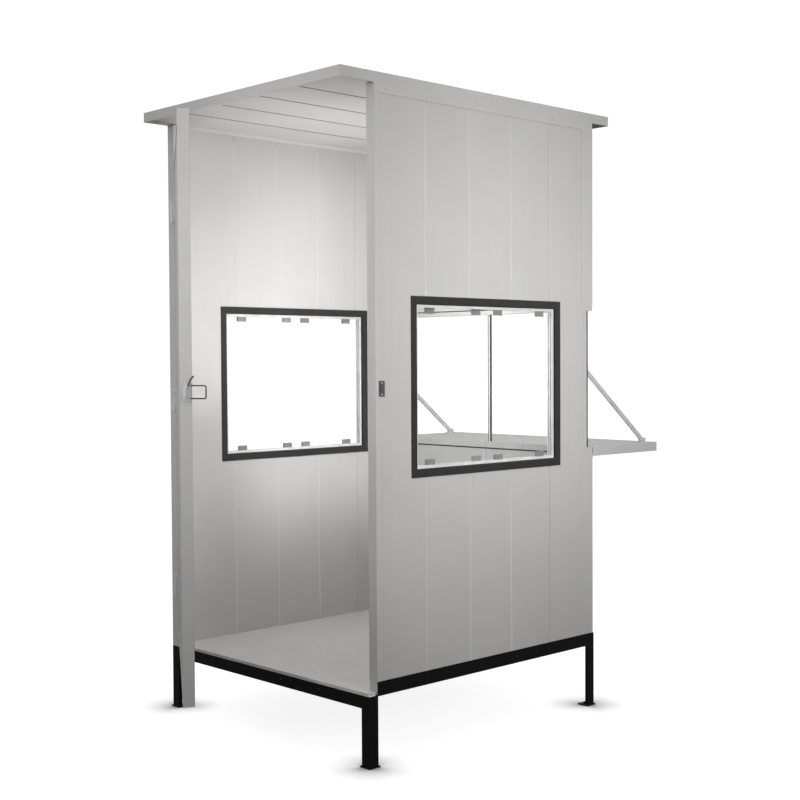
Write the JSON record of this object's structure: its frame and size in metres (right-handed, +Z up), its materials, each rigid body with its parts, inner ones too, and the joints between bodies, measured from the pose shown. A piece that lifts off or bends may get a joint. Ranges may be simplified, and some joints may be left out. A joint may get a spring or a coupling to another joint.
{
  "type": "security guard booth",
  "caption": "Insulated panel guard booth on a legged angle frame, with glazed sides, a rear hatch and counter, and an outward opening door.",
  "frame": {"origin": "centre of the floor board's top face", "axes": "+X to the right seen from in front of the doorway, +Y from the doorway towards the rear counter, +Z up; the feet stand 0.286 m below the origin"},
  "size_m": [1.322, 2.5382, 2.626],
  "materials": {
    "panel": "satin light grey prepainted steel",
    "trim": "satin grey white channel",
    "frame": "satin black paint",
    "charcoal": "satin charcoal coating",
    "channel": "satin",
    "pane": "clear",
    "board": "light grey steel faced board",
    "bright": "plated steel",
    "dark": "dark grey plated steel"
  },
  "bodies": {
    "booth": {"frame_side_left": "frame", "frame_side_right": "frame", "frame_front": "frame", "frame_back": "frame", "leg_front_left": "frame", "leg_front_right": "frame", "leg_rear_left": "frame", "leg_rear_right": "frame", "joist_front": "frame", "joist_rear": "frame", "floor_board": "board", "wall_left": "panel", "wall_right": "panel", "wall_back_lower": "panel", "wall_back_upper": "panel", "roof_panel": "panel", "roof_edge": "trim", "window_frame_left": "charcoal", "window_frame_right": "charcoal", "window_track_left": "channel", "window_track_right": "channel", "glass_left_front": "pane", "glass_left_rear": "pane", "glass_right_front": "pane", "glass_right_rear": "pane", "hatch_sill": "panel", "hatch_head": "panel", "hatch_mullion": "trim", "counter_shelf": "panel", "counter_stay_left": "bright", "counter_stay_right": "bright", "hinge_fixed_low": "bright", "hinge_fixed_mid": "bright", "hinge_fixed_top": "bright", "latch_keeper": "dark"},
    "door": {"door_leaf": "panel", "door_rim": "trim", "hinge_moving_low": "bright", "hinge_moving_mid": "bright", "hinge_moving_top": "bright", "latch_plate": "bright"},
    "hook": {"latch_hook": "dark"}
  },
  "joints": [
    {"name": "door_swing", "type": "hinge", "parent": "booth", "child": "door", "pos_m": [-0.605, -0.686, 1.08], "axis": [0, 0, -1], "range_deg": [-33.5, 86.5]},
    {"name": "hook_swing", "type": "hinge", "parent": "door", "child": "hook", "pos_m": [0.47249, -1.35001, 1.15], "axis": [0, 0, -1], "range_deg": [-30, 60]}
  ]
}
